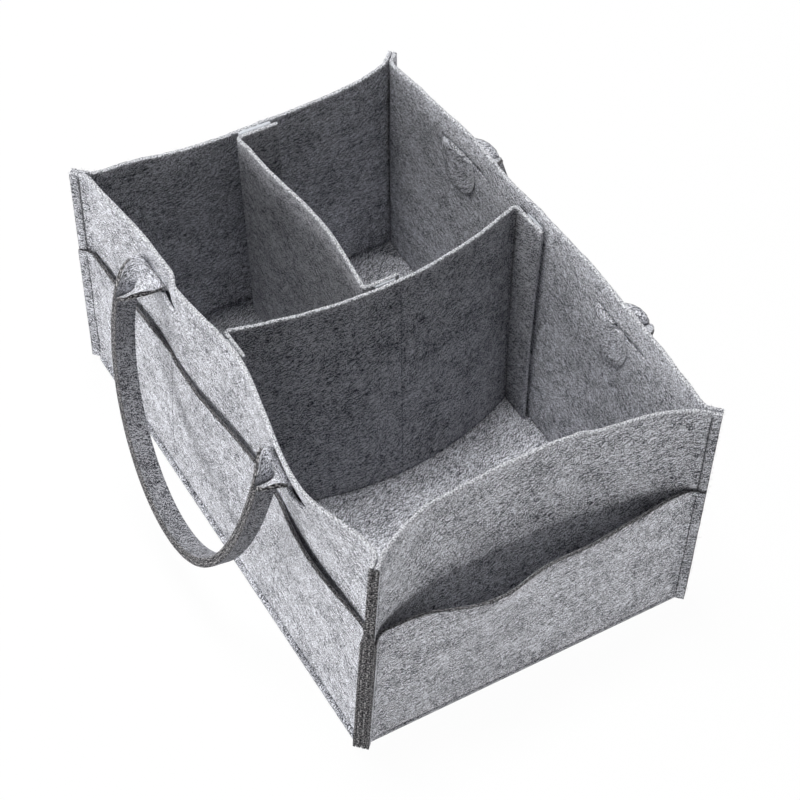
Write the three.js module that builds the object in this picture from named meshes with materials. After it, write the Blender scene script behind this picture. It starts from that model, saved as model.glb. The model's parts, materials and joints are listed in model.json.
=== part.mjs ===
// Felt diaper caddy: an open box sewn from flat felt panels, with pockets outside, two dividers that
// lift out and two carrying handles. Millimetres, +Z up. The origin is the middle of the underside,
// and the widest pocket faces -Y.
import * as THREE from 'three';

// Box
const bodyLength = 380; // over the end walls, along Y
const bodyWidth = 236; // over the side walls, along X
const bodyHeight = 180; // ground to rim
const felt = 3; // thickness of every felt panel
const layerGap = 0.3; // air between two felt layers that lie together
const finReach = 13; // corner seam, from the inside corner to its cut edge, along the diagonal
const baseLip = 2.5; // base panel beyond the side pockets
const baseCornerGap = 0.5; // base panel short of the corner seams

// How far the rim of each wall has moved from straight. Inward is positive.
const frontBow = 24;
const frontSquareness = 2.5; // power of a bow's curve along the wall: the larger, the flatter its middle
const frontRise = 0.8; // power of height for the front wall, which is drawn in from low down
const backBow = 12;
const rightBow = -8.5;
const plainSquareness = 4; // the same for the back and right walls
const bowRise = 1.5; // the same power for the back and right walls, which move most at the rim
const leftInBow = 8;
const leftInCentre = -4;
const leftInBackReach = 150;
const leftInFrontReach = 60;
const leftOutBow = 11.5;
const leftOutFromCorner = 72; // the left rim stands out most this far from the front corner
const leftOutBackReach = 85;
const leftRise = 4; // and for the left wall, which moves only near its rim
const leftDent = 5; // the left wall is also pressed in behind its pocket lip
const dentHeight = 100;
const dentReach = 80; // the dent ends this far above and below its middle

// Pockets
const pocketHeight = 110;
const sideStitch = 72; // distance of each side pocket's stitch line from the middle
const frontPeak = 13; // the front lip stands out past the corners, most to the left of its middle
const frontPeakX = -42;
const frontPeakReach = 55;
const frontSpread = 7.5; // and less to the right
const frontSpreadX = 25;
const frontSpreadReach = 85;
const backGape = 8; // how far the other pocket lips stand off their walls
const leftGape = 10;
const leftMiddleGape = 6;
const rightGape = 10;
const rightMiddleGape = 6;
const gapeRise = 2; // power of height: a pocket lies on its wall at the floor and gapes at its lip

// Handles: one felt band each
const strapWidth = 31; // flat width of the band
const slitBelowRim = 18.5; // rim to the middle of the band where it leaves the wall
const slitSpacing = 186; // between the middles of a wall's two slits
const slitSpare = 27; // slit longer than the band is wide
const slitEndGap = 6.5; // band to the back end of its slit
const slitAbove = 0.7; // open slit above the band
const slitBelow = 5.2; // open slit below the band
const tongueLength = 17; // sewn inside the wall, below the slit
const tongueGap = 0.8; // tongue to the inside of its wall
const tongueRoundness = 0.98; // share of the band's width that the tongue's round end takes up
const slitBend = 5; // bend radius of the band in its slit
const shoulderRun = 3.3; // straight band between the slit and the shoulder
const shoulderBend = 9; // bend radius of the crease where the band turns down
const foldRun = 27; // length over which the flat band folds shut
const leastFold = 0.001; // fold angle, in radians, of a band that still lies flat
const loopDepth = 115;
const loopSquareness = 2.05; // power of the loop's curve: 2 is an ellipse
const loopSkew = 18; // the bottom of the loop hangs this far in front of the middle
const loopTilt = THREE.MathUtils.degToRad(12.5); // the loop hangs away from the wall
const hingeOut = 11.8; // swing axis beyond the wall's outer face
const hingeGap = 0.8; // the turning end of the band to the swinging loop
const rimSlack = 3.5; // how far in the rim may lean where the loop swings over it

// Dividers
const dividerBelowRim = 7.7; // rim to the top of the cross divider
const dividerClear = 0.6; // tape to wall, at the tightest place
const flapLength = 26;
const crossTopY = 23; // ends of the cross divider, at its top
const crossFootY = 16; // and at the floor
const crossTopBow = 19; // the middle of the cross divider bows to the front
const crossFootBow = 27;
const shortX = -11; // plane of the short divider
const shortRise = 10; // its back end is fixed higher than its front end
const tapeThickness = 1.6;
const tapeWidth = 18;
const tapeTop = 12; // tape below the top of its flap
const tapeFoot = 45; // tape above the foot of its flap

// Largest distance between the points that each kind of piece is drawn with, and counts of steps
const sideStep = 15;
const endStep = 17;
const wallStep = 36;
const pocketStep = 27;
const dividerStep = 34;
const crossSteps = 12;
const bandStep = 4.5;
const tongueStep = 6;
const slitBendSteps = 5;
const shoulderSteps = 6;
const loopSteps = 26;
const bandEndRows = 15;
const bandLoopRows = 22;
const halvings = 30; // rounds of the search for the place where the band is cut at the swing radius
const leastSpan = 0.001; // values closer than this count as one

const colours = {
  wall: '#a6a7ac', pocket: '#9fa0a5', base: '#a2a3a8', divider: '#8f9096', tape: '#c3c7cc', handle: '#9a9ba0',
};
const feltRoughness = 0.95;

const insideX = bodyWidth / 2 - felt;
const insideY = bodyLength / 2 - felt;
const floorZ = felt + layerGap;
const layerPitch = felt + layerGap;
const wallFace = layerGap / 2; // inside of a wall, from the corner seam line
const pocketOut = 2 * layerPitch + wallFace; // outer face of a pocket, from the corner seam line
const slitHeight = bodyHeight - slitBelowRim;
const slitLow = slitHeight - felt / 2 - slitBelow;
const slitHigh = slitHeight + felt / 2 + slitAbove;
const slitLength = strapWidth + slitSpare;
const slitNear = (slitSpacing - slitLength) / 2;
const slitFar = (slitSpacing + slitLength) / 2;
const legShift = slitSpare / 2 - slitEndGap; // the legs hang toward the back ends of their slits
const hingeRadius = Math.hypot(hingeOut + felt + rimSlack, slitBelowRim) + hingeGap;
const creaseHalf = ((felt + layerGap) / 2) * (Math.PI / 2); // half the band that bends in a shut fold

const caddy = new THREE.Group();

function addPiece(name, geometry, color) {
  const material = new THREE.MeshStandardMaterial({ color, roughness: feltRoughness, metalness: 0 });
  const mesh = new THREE.Mesh(geometry, material);
  mesh.name = name;
  caddy.add(mesh);
}

// A round hump: 1 in the middle, 0 from one reach away. The reach below the middle may differ.
function hump(value, centre, reach, reachBelow = reach) {
  const share = Math.min(Math.abs(value - centre) / (value < centre ? reachBelow : reach), 1);
  return Math.cos((share * Math.PI) / 2) ** 2;
}

// A flat-topped arch: 1 in the middle, 0 at both ends.
function arch(run, half, squareness) {
  return 1 - Math.min(Math.abs(run / half), 1) ** squareness;
}

function rise(z, power) {
  return Math.max(z / bodyHeight, 0) ** power;
}

// The fixed values in order, with evenly spaced ones between them, no further apart than the step.
function spaced(fixed, step) {
  const sorted = fixed.slice().sort((a, b) => a - b);
  const values = [sorted[0]];
  for (const next of sorted) {
    const start = values[values.length - 1];
    const span = next - start;
    const count = span < leastSpan ? 0 : Math.ceil(span / step);
    for (let k = 1; k <= count; k += 1) {
      values.push(start + (span * k) / count);
    }
  }
  return values;
}

// A closed sheet from a grid of point pairs, one on each face. point(i, j, face) gives a place, and
// missing(i, j) is true for a cell that is cut out. Every free cell edge gets a rim.
function sheet(columns, rows, point, missing = () => false) {
  const positions = [];
  for (let face = 0; face < 2; face += 1) {
    for (let j = 0; j < rows; j += 1) {
      for (let i = 0; i < columns; i += 1) {
        positions.push(...point(i, j, face));
      }
    }
  }
  const at = (i, j, face) => face * columns * rows + j * columns + i;
  const absent = (i, j) => i < 0 || j < 0 || i >= columns - 1 || j >= rows - 1 || missing(i, j);
  const index = [];
  const quad = (a, b, c, d) => index.push(a, b, c, a, c, d);
  const wallOff = (free, [i, j], [k, l]) => {
    if (free) {
      quad(at(i, j, 0), at(k, l, 0), at(k, l, 1), at(i, j, 1));
    }
  };
  for (let j = 0; j < rows - 1; j += 1) {
    for (let i = 0; i < columns - 1; i += 1) {
      if (!absent(i, j)) {
        quad(at(i, j, 0), at(i, j + 1, 0), at(i + 1, j + 1, 0), at(i + 1, j, 0));
        quad(at(i, j, 1), at(i + 1, j, 1), at(i + 1, j + 1, 1), at(i, j + 1, 1));
        wallOff(absent(i, j - 1), [i, j], [i + 1, j]);
        wallOff(absent(i, j + 1), [i + 1, j + 1], [i, j + 1]);
        wallOff(absent(i - 1, j), [i, j + 1], [i, j]);
        wallOff(absent(i + 1, j), [i + 1, j], [i + 1, j + 1]);
      }
    }
  }
  return facingOut(positions, index);
}

// The geometry of a closed surface, with its triangles turned round if they point inward.
function facingOut(positions, index) {
  const corner = (k) => new THREE.Vector3().fromArray(positions, 3 * k);
  let volume = 0;
  for (let k = 0; k < index.length; k += 3) {
    volume += corner(index[k]).dot(corner(index[k + 1]).cross(corner(index[k + 2])));
  }
  const geometry = new THREE.BufferGeometry();
  geometry.setAttribute('position', new THREE.Float32BufferAttribute(positions, 3));
  geometry.setIndex(volume < 0 ? index.slice().reverse() : index);
  return geometry;
}

// Walls. Each has a run along it, an outward direction, and its own inward shift.
const sideRuns = spaced([insideY, slitFar, sideStitch, slitNear].flatMap((run) => [-run, run]), sideStep);
const endRuns = spaced([-insideX, insideX], endStep);

function leftShift(run, z) {
  const inward = leftInBow * hump(run, leftInCentre, leftInBackReach, leftInFrontReach);
  const outCentre = leftOutFromCorner - insideY;
  const outward = leftOutBow * hump(run, outCentre, leftOutBackReach, leftOutFromCorner);
  const dent = leftDent * arch(run, insideY, plainSquareness) * hump(z, dentHeight, dentReach);
  return (inward - outward) * rise(z, leftRise) + dent;
}

function bowed(bow, half, squareness, power) {
  return (run, z) => bow * arch(run, half, squareness) * rise(z, power);
}

const endWall = { half: insideX, out: insideY, runs: endRuns };
const sideWall = { half: insideY, out: insideX, runs: sideRuns };
const walls = {
  front: { ...endWall, inward: bowed(frontBow, insideX, frontSquareness, frontRise) },
  back: { ...endWall, inward: bowed(backBow, insideX, plainSquareness, bowRise) },
  left: { ...sideWall, inward: leftShift },
  right: { ...sideWall, inward: bowed(rightBow, insideY, plainSquareness, bowRise) },
};
const place = {
  front: (run, out, z) => [run, -out, z],
  back: (run, out, z) => [run, out, z],
  left: (run, out, z) => [-out, run, z],
  right: (run, out, z) => [out, run, z],
};

function wallShift(side, run, z) {
  return -walls[side].inward(run, z);
}

// Place of a panel's column on the face that lies this far outside the corner seam line. The first
// and last columns are the cut edges of the corner fins, turned out along the diagonal.
function panelColumn(wall, column, offset) {
  const last = wall.runs.length + 1;
  const fin = finReach / Math.SQRT2;
  const end = column <= 1 ? -1 : 1;
  if (column === 0 || column === last) {
    return [end * (wall.half + fin - offset / Math.SQRT2), wall.out + fin + offset / Math.SQRT2];
  }
  if (column === 1 || column === last - 1) {
    return [end * (wall.half - offset * (Math.SQRT2 - 1)), wall.out + offset];
  }
  return [wall.runs[column - 1], wall.out + offset];
}

function panel(side, layer, levels, shiftAt, missing) {
  const wall = walls[side];
  const columns = wall.runs.length + 2;
  const point = (i, j, face) => {
    const [run, out] = panelColumn(wall, i, wallFace + layer * layerPitch + face * felt);
    const isFinEdge = i === 0 || i === columns - 1;
    const z = isFinEdge && j === 0 ? 0 : levels[j];
    return place[side](run, out + (isFinEdge ? 0 : shiftAt(run, z)), z);
  };
  return sheet(columns, levels.length, point, missing);
}

// Below the lips a wall has the levels of its pocket, so that the two lie together.
const pocketLevels = spaced([floorZ, pocketHeight], pocketStep);
const wallLevels = spaced([...pocketLevels, slitLow, slitHigh, bodyHeight], wallStep);

function inSlit(column, row) {
  const run = Math.abs(sideRuns[column - 1] + sideRuns[column]) / 2;
  const z = (wallLevels[row] + wallLevels[row + 1]) / 2;
  return run > slitNear && run < slitFar && z > slitLow && z < slitHigh;
}

for (const side of Object.keys(walls)) {
  const cuts = walls[side].runs === sideRuns ? inSlit : undefined;
  const shiftAt = (run, z) => wallShift(side, run, z);
  addPiece(`${side}_wall`, panel(side, 0, wallLevels, shiftAt, cuts), colours.wall);
}

// Pockets. A lip stands off between its seams, most at the top.
// A half wave between two seams, and nothing outside them.
function halfWave(run, low, high) {
  const share = THREE.MathUtils.clamp((run - low) / (high - low), 0, 1);
  return Math.sin(Math.PI * share);
}

function sideLip(run, outerGape, middleGape) {
  const outer = halfWave(run, -insideY, -sideStitch) + halfWave(run, sideStitch, insideY);
  return outerGape * outer + middleGape * halfWave(run, -sideStitch, sideStitch);
}

function frontLip(run) {
  const peak = frontPeak * hump(run, frontPeakX, frontPeakReach);
  const spread = frontSpread * hump(run, frontSpreadX, frontSpreadReach);
  return peak + spread;
}

const gapeShare = (z) => ((z - floorZ) / (pocketHeight - floorZ)) ** gapeRise;
const standOff = (side, lipAt) => (run, z) => wallShift(side, run, z) + lipAt(run) * gapeShare(z);
const pocketShifts = {
  front: (run, z) => frontLip(run) * gapeShare(z),
  back: standOff('back', (run) => backGape * arch(run, insideX, frontSquareness)),
  left: standOff('left', (run) => sideLip(run, leftGape, leftMiddleGape)),
  right: standOff('right', (run) => sideLip(run, rightGape, rightMiddleGape)),
};
for (const side of Object.keys(walls)) {
  addPiece(`${side}_pocket`, panel(side, 1, pocketLevels, pocketShifts[side]), colours.pocket);
}

// Base panel, with its corners cut off inside the corner seams.
function basePanel() {
  const x = insideX + pocketOut + baseLip;
  const y = insideY + pocketOut;
  const diagonal = insideX + insideY - baseCornerGap;
  const outline = new THREE.Shape([
    new THREE.Vector2(diagonal - y, -y), new THREE.Vector2(x, x - diagonal),
    new THREE.Vector2(x, diagonal - x), new THREE.Vector2(diagonal - y, y),
    new THREE.Vector2(y - diagonal, y), new THREE.Vector2(-x, diagonal - x),
    new THREE.Vector2(-x, x - diagonal), new THREE.Vector2(y - diagonal, -y),
  ]);
  return new THREE.ExtrudeGeometry(outline, { depth: felt, bevelEnabled: false });
}
addPiece('base_panel', basePanel(), colours.base);

// A plan line moved sideways by a distance, with its corners mitred.
function offsetLine(line, distance) {
  return line.map((point, i) => {
    const before = line[Math.max(i - 1, 0)];
    const after = line[Math.min(i + 1, line.length - 1)];
    const into = new THREE.Vector2().subVectors(point, before).normalize();
    const away = new THREE.Vector2().subVectors(after, point).normalize();
    const first = i === 0 ? away : into;
    const second = i === line.length - 1 ? into : away;
    const normal = new THREE.Vector2(first.y + second.y, -first.x - second.x).normalize();
    const miter = normal.x * first.y - normal.y * first.x;
    return normal.multiplyScalar(distance / miter).add(point);
  });
}

// An upright sheet that follows a plan line at every level.
function uprightSheet(levels, lineAt, heightAt, thickness) {
  const middles = levels.map((level) => lineAt(level));
  const faces = [-thickness / 2, thickness / 2].map((side) => middles.map((line) => offsetLine(line, side)));
  const point = (i, j, face) => {
    const spot = faces[face][j][i];
    return [spot.x, spot.y, heightAt(middles[j][i], levels[j])];
  };
  return sheet(middles[0].length, levels.length, point);
}

// Cross divider, from the left wall to the right wall, with a flap folded to the front at each end.
const dividerTop = bodyHeight - dividerBelowRim;
const dividerLevels = spaced([floorZ, dividerTop], dividerStep);
const flapMiddle = dividerClear + tapeThickness + layerGap + felt / 2; // wall to the middle of a flap
const leftDeepest = Math.max(...wallLevels.map((z) => walls.left.inward(leftInCentre, z)));
const crossLeft = leftDeepest + flapMiddle - insideX - wallFace;
const heightShare = (z) => (z - floorZ) / (dividerTop - floorZ);
const crossRight = (z) => insideX + wallFace - rightBow * rise(z, bowRise) - flapMiddle;
const crossEnd = (z) => THREE.MathUtils.lerp(crossFootY, crossTopY, heightShare(z));
const crossBow = (z) => THREE.MathUtils.lerp(crossFootBow, crossTopBow, heightShare(z));

function crossSpot(share, z) {
  const x = THREE.MathUtils.lerp(crossLeft, crossRight(z), share);
  return new THREE.Vector2(x, crossEnd(z) - crossBow(z) * arch(2 * share - 1, 1, 2));
}

function crossLine(z) {
  const line = [new THREE.Vector2(crossLeft, crossEnd(z) - flapLength)];
  for (let k = 0; k <= crossSteps; k += 1) {
    line.push(crossSpot(k / crossSteps, z));
  }
  line.push(new THREE.Vector2(crossRight(z), crossEnd(z) - flapLength));
  return line;
}
const levelHeight = (spot, z) => z;
addPiece('cross_divider', uprightSheet(dividerLevels, crossLine, levelHeight, felt), colours.divider);

// Short divider, from the cross divider to the back wall, with its flaps folded to the right.
const shortShare = (shortX - crossLeft) / (crossRight(dividerTop) - crossLeft);
const shortFront = crossSpot(shortShare, dividerTop).y + felt / 2 + flapMiddle;
const shortBack = insideY + wallFace - backBow - flapMiddle;

function shortLine() {
  return [
    new THREE.Vector2(shortX + flapLength, shortFront), new THREE.Vector2(shortX, shortFront),
    new THREE.Vector2(shortX, (shortFront + shortBack) / 2), new THREE.Vector2(shortX, shortBack),
    new THREE.Vector2(shortX + flapLength, shortBack),
  ];
}

function shortHeight(spot, z) {
  return z + (shortRise * (spot.y - shortFront)) / (shortBack - shortFront);
}
addPiece('short_divider', uprightSheet(dividerLevels, shortLine, shortHeight, felt), colours.divider);

// Hook tapes, one on the back of each flap.
const tapeLevels = spaced([floorZ + tapeFoot, dividerTop - tapeTop], dividerStep);
const tapeOffset = felt / 2 + layerGap + tapeThickness / 2;
const tapeInset = (flapLength - tapeWidth) / 2;

function addTape(name, lineAt, heightAt) {
  addPiece(name, uprightSheet(tapeLevels, lineAt, heightAt, tapeThickness), colours.tape);
}
const crossTape = (xAt) => (z) => [
  new THREE.Vector2(xAt(z), crossEnd(z) - tapeInset - tapeWidth),
  new THREE.Vector2(xAt(z), crossEnd(z) - tapeInset),
];
const shortTape = (y) => () => [
  new THREE.Vector2(shortX + tapeInset, y), new THREE.Vector2(shortX + tapeInset + tapeWidth, y),
];
addTape('cross_divider_left_tape', crossTape(() => crossLeft - tapeOffset), levelHeight);
addTape('cross_divider_right_tape', crossTape((z) => crossRight(z) + tapeOffset), levelHeight);
addTape('short_divider_front_tape', shortTape(shortFront - tapeOffset), shortHeight);
addTape('short_divider_back_tape', shortTape(shortBack + tapeOffset), shortHeight);

// Handles. The middle line of the band runs up inside the wall, out through the slit, over a shoulder
// and round the hanging loop to the other slit. Its places hold outward distance, run and height.
function strapRoute() {
  const tongueOut = insideX + wallFace - tongueGap - felt / 2;
  const tongueZ = slitHeight - slitBend;
  const shoulderOut = tongueOut + slitBend + shoulderRun;
  const turn = Math.PI / 2 - loopTilt;
  const end = spaced([tongueZ - tongueLength, tongueZ], tongueStep).map((z) => [tongueOut, z]);
  for (let k = 1; k <= slitBendSteps; k += 1) {
    const angle = ((k / slitBendSteps) * Math.PI) / 2;
    end.push([tongueOut + slitBend * (1 - Math.cos(angle)), tongueZ + slitBend * Math.sin(angle)]);
  }
  const exitStep = end.length - 1;
  for (let k = 0; k <= shoulderSteps; k += 1) {
    const angle = (k / shoulderSteps) * turn;
    const drop = shoulderBend * (1 - Math.cos(angle));
    end.push([shoulderOut + shoulderBend * Math.sin(angle), slitHeight - drop]);
  }
  const topStep = end.length - 1;
  const [topOut, topZ] = end[topStep];
  const loop = [];
  for (let k = 1; k < loopSteps; k += 1) {
    const angle = (k / loopSteps) * Math.PI;
    const across = Math.sign(Math.cos(angle)) * Math.abs(Math.cos(angle)) ** (2 / loopSquareness);
    const depth = loopDepth * Math.sin(angle) ** (2 / loopSquareness);
    const run = legShift + (slitSpacing / 2) * across - loopSkew * (depth / loopDepth) ** 2;
    loop.push(new THREE.Vector3(topOut + Math.tan(loopTilt) * depth, run, topZ - depth));
  }
  const endAt = (run) => end.map(([out, z]) => new THREE.Vector3(out, run, z));
  const back = endAt(legShift + slitSpacing / 2);
  const front = endAt(legShift - slitSpacing / 2).reverse();
  return { route: [...back, ...loop, ...front], topStep, exitStep };
}

// A band folded along its middle line: how far a place on it lies beside and above the crease, and
// the direction its inner face looks, when each half is turned up by the fold angle.
function foldedSection(across, foldAngle) {
  const angle = Math.max(foldAngle, leastFold);
  const distance = Math.abs(across);
  const turned = angle * Math.min(distance / creaseHalf, 1);
  const flat = Math.max(distance - creaseHalf, 0);
  const bendRadius = creaseHalf / angle;
  return {
    beside: Math.sign(across) * (bendRadius * Math.sin(turned) + flat * Math.cos(angle)),
    above: bendRadius * (1 - Math.cos(turned)) + flat * Math.sin(angle),
    faceBeside: -Math.sign(across) * Math.sin(turned),
    faceAbove: Math.cos(turned),
  };
}

const bandColumns = spaced([-strapWidth / 2, -creaseHalf, 0, creaseHalf, strapWidth / 2], bandStep);

// The band of one side, cut where it crosses the swing radius into two fixed ends and a loop.
function strap(side) {
  const { route, topStep, exitStep } = strapRoute();
  const last = route.length - 1;
  const lengths = [0];
  for (let k = 1; k <= last; k += 1) {
    lengths.push(lengths[k - 1] + route[k].distanceTo(route[k - 1]));
  }
  const total = lengths[last];
  const exitLength = lengths[exitStep];
  const topLength = lengths[topStep];
  const hangShift = wallShift(side, legShift + slitSpacing / 2, slitHeight);

  const along = (length) => {
    let k = 1;
    while (k < last && lengths[k] < length) {
      k += 1;
    }
    const share = (length - lengths[k - 1]) / (lengths[k] - lengths[k - 1]);
    return new THREE.Vector3().lerpVectors(route[k - 1], route[k], share);
  };

  // Place on the band: across its width, along its length, and from its outer face 0 to its inner face 1.
  const bandSpot = (across, length, face) => {
    const fromEnd = Math.min(length, total - length);
    const spot = along(length);
    const tangent = along(Math.min(length + 1, total)).sub(along(Math.max(length - 1, 0))).normalize();
    const outgoing = length < total / 2 ? 1 : -1;
    const fold = fromEnd > topLength
      ? new THREE.Vector3(Math.cos(loopTilt), 0, Math.sin(loopTilt))
      : new THREE.Vector3(-tangent.z * outgoing, 0, tangent.x * outgoing).normalize();
    const beside = new THREE.Vector3().crossVectors(tangent, fold).normalize();
    const shut = THREE.MathUtils.smoothstep(fromEnd, exitLength, exitLength + foldRun);
    const section = foldedSection(across, (shut * Math.PI) / 2);
    const lift = (face - 0.5) * felt;
    spot.addScaledVector(beside, section.beside + lift * section.faceBeside);
    spot.addScaledVector(fold, section.above + lift * section.faceAbove);
    const loose = THREE.MathUtils.smoothstep(fromEnd, exitLength, topLength);
    spot.x += THREE.MathUtils.lerp(wallShift(side, spot.y, spot.z), hangShift, loose);
    return spot;
  };

  const hingeX = bodyWidth / 2 + hingeOut + hangShift;
  const cutAt = (across, limit, fromLength, toLength) => {
    let near = fromLength;
    let far = toLength;
    for (let k = 0; k < halvings; k += 1) {
      const middle = (near + far) / 2;
      const spot = bandSpot(across, middle, 0.5);
      const isInside = Math.hypot(spot.x - hingeX, spot.z - slitHeight) < limit;
      near = isInside ? middle : near;
      far = isInside ? far : middle;
    }
    return far;
  };
  const swingEnd = topLength + 2 * hingeRadius;
  const backCut = (limit) => (across) => cutAt(across, limit, topLength, swingEnd);
  const frontCut = (limit) => (across) => cutAt(across, limit, total - topLength, total - swingEnd);
  const endRadius = strapWidth / 2;
  const roundEnd = (across) => endRadius - Math.sqrt(endRadius ** 2 - (tongueRoundness * across) ** 2);

  const patch = (startAt, endAt, rows) => {
    const starts = bandColumns.map(startAt);
    const ends = bandColumns.map(endAt);
    const point = (i, j, face) => {
      const length = THREE.MathUtils.lerp(starts[i], ends[i], j / rows);
      const spot = bandSpot(bandColumns[i], length, face);
      return place[side](spot.y, spot.x, spot.z);
    };
    return sheet(bandColumns.length, rows + 1, point);
  };
  const swingRadius = hingeRadius + hingeGap;
  return {
    back_end: patch(roundEnd, backCut(hingeRadius), bandEndRows),
    front_end: patch(frontCut(hingeRadius), (across) => total - roundEnd(across), bandEndRows),
    loop: patch(backCut(swingRadius), frontCut(swingRadius), bandLoopRows),
  };
}

for (const side of ['left', 'right']) {
  for (const [part, geometry] of Object.entries(strap(side))) {
    addPiece(`${side}_handle_${part}`, geometry, colours.handle);
  }
}

export default caddy;
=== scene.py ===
# %% [markdown]
# # A caddy sewn from felt panels
# The real caddy is an open box of needle-punched felt. Its four walls, four outer pockets and floor
# are flat cuts sewn together, two dividers stand inside it, and two felt bands hang at its sides as
# handles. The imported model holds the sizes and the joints. This lesson gives every piece its soft
# shape and its fibres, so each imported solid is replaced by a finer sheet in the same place.

# %% Load the frame
import json

import bpy
import numpy as np
from mathutils import Matrix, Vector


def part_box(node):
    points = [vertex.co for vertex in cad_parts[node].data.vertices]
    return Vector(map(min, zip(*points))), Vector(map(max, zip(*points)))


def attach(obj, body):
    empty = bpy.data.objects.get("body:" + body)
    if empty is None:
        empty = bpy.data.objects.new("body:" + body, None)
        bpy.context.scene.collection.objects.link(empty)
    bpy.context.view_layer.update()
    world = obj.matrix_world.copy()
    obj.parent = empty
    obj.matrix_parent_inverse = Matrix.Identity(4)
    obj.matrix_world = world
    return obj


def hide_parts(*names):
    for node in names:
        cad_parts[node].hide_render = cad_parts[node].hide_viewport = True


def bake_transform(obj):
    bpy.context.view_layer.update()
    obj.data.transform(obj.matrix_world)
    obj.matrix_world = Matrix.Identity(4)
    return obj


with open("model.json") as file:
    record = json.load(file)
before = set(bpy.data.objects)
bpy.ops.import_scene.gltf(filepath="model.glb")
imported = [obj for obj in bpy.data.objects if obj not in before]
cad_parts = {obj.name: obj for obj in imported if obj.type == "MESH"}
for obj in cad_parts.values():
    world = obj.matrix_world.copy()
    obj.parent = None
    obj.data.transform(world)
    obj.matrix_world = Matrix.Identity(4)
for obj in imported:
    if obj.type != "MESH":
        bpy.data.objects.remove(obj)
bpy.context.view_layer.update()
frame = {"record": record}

MM = 1000.0

# %% [markdown]
# ## The camera
# The photograph looks down at a front corner through a long lens. A camera could be aimed by hand,
# but here its angles were fitted to the corners of the box, so they are written as numbers: where it
# looks, from which direction, how far away it stands and how much the picture is rolled.

# %% Camera
photo_pixels = 800
focal_pixels = 2611.5
camera_azimuth, camera_elevation, camera_roll = np.radians([-31.64, 47.94, 1.56])
camera_distance = 1.742
camera_target = np.array([0.0073, -0.0126, 0.080])

flat = np.cos(camera_elevation)
away = np.array([np.sin(camera_azimuth) * flat, -np.cos(camera_azimuth) * flat, np.sin(camera_elevation)])
level = np.array([np.cos(camera_azimuth), np.sin(camera_azimuth), 0.0])
upward = np.cross(away, level)
picture_right = np.cos(camera_roll) * level + np.sin(camera_roll) * upward
picture_up = np.cross(away, picture_right)
turned = np.column_stack([picture_right, picture_up, away])

camera_data = bpy.data.cameras.new("photo_camera")
camera_data.sensor_width = 36.0
camera_data.lens = focal_pixels / photo_pixels * camera_data.sensor_width
camera = bpy.data.objects.new("photo_camera", camera_data)
camera.matrix_world = Matrix.LocRotScale(camera_target + away * camera_distance, Matrix(turned), None)
bpy.context.scene.collection.objects.link(camera)
bpy.context.scene.camera = camera
print("lens, mm:", round(camera_data.lens, 1))

# %% [markdown]
# ## Sizes
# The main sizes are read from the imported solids: how thick the felt is, how high the rim and the
# pocket lips stand, where the corner seams run and where the handles hinge. The rest are sizes that
# the solids share with this scene. All lengths below are millimetres, and only the mesh helper turns
# them into metres.

# %% Sizes


def box_mm(node):
    """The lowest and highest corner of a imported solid, in millimetres."""
    return [np.array(corner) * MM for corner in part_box(node)]


layer_gap = 0.3
base_lip = 2.5
fin_reach = 13.0
base_low, base_high = box_mm("base_panel")
felt = base_high[2] - base_low[2]
layer_pitch = felt + layer_gap
wall_face = layer_gap / 2
pocket_out = 2 * layer_pitch + wall_face
floor_z = felt + layer_gap
rim_z = box_mm("right_wall")[1][2]
lip_z = box_mm("right_pocket")[1][2]
inside_x = base_high[0] - pocket_out - base_lip
inside_y = base_high[1] - pocket_out
joints = {joint["name"]: joint for joint in frame["record"]["behaviour"]["joints"]}
hinges = {side: np.array(joints[f"{side}_handle_swing"]["pos_m"]) * MM for side in ("left", "right")}
slit_z = hinges["left"][2]
print("felt", round(felt, 2), "rim", round(rim_z, 1), "lip", round(lip_z, 1), "inside", inside_x, inside_y)
print("hinges at", hinges)

# %% [markdown]
# ## Small formulas that shape the felt
# Felt stands up by itself but never stays flat. Its bows and dents are round humps and flat-topped
# arches, and its small unevenness is a smooth random field. Each is a short formula that works on
# whole arrays.

# %% Shape formulas


def hump(value, centre, reach, below=None):
    """A round hump: the squared cosine of the distance, 1 in the middle and 0 from one reach away."""
    reaches = np.where(np.asarray(value) < centre, reach if below is None else below, reach)
    return np.cos(np.clip(np.abs(value - centre) / reaches, 0, 1) * np.pi / 2) ** 2


def arch(share, power):
    """A flat-topped arch: one minus a power of the distance, 1 in the middle and 0 at both ends."""
    return 1 - np.clip(np.abs(share), 0, 1) ** power


def smooth(value, low, high):
    """A smooth step from 0 at low to 1 at high."""
    share = np.clip((value - low) / (high - low), 0, 1)
    return share * share * (3 - 2 * share)


def half_wave(value, low, high):
    """Half a sine wave between two seams, and 0 outside them."""
    return np.sin(np.pi * np.clip((value - low) / (high - low), 0, 1))


def wander(seed, u, v, spacing):
    """A smooth random field from -1 to 1: random values on a square lattice, blended by smooth steps."""
    lattice = np.random.default_rng(seed).uniform(-1, 1, (256, 256))
    x, y = np.asarray(u) / spacing + 64, np.asarray(v) / spacing + 64
    i, j = np.floor(x).astype(int), np.floor(y).astype(int)
    a, b = smooth(x - i, 0, 1), smooth(y - j, 0, 1)
    low = lattice[i % 256, j % 256] * (1 - a) + lattice[(i + 1) % 256, j % 256] * a
    high = lattice[i % 256, (j + 1) % 256] * (1 - a) + lattice[(i + 1) % 256, (j + 1) % 256] * a
    return low * (1 - b) + high * b


def stops(fixed, step, edges=(0.5, 1.3)):
    """Places from the first fixed value to the last, no further apart than a step, closer at both ends."""
    marks = np.unique(np.concatenate([fixed, np.add(min(fixed), edges), np.subtract(max(fixed), edges)]))
    spans = zip(marks[:-1], marks[1:])
    parts = [np.linspace(a, b, int(np.ceil((b - a) / step)) + 1)[:-1] for a, b in spans]
    return np.append(np.concatenate(parts), marks[-1])


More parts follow.
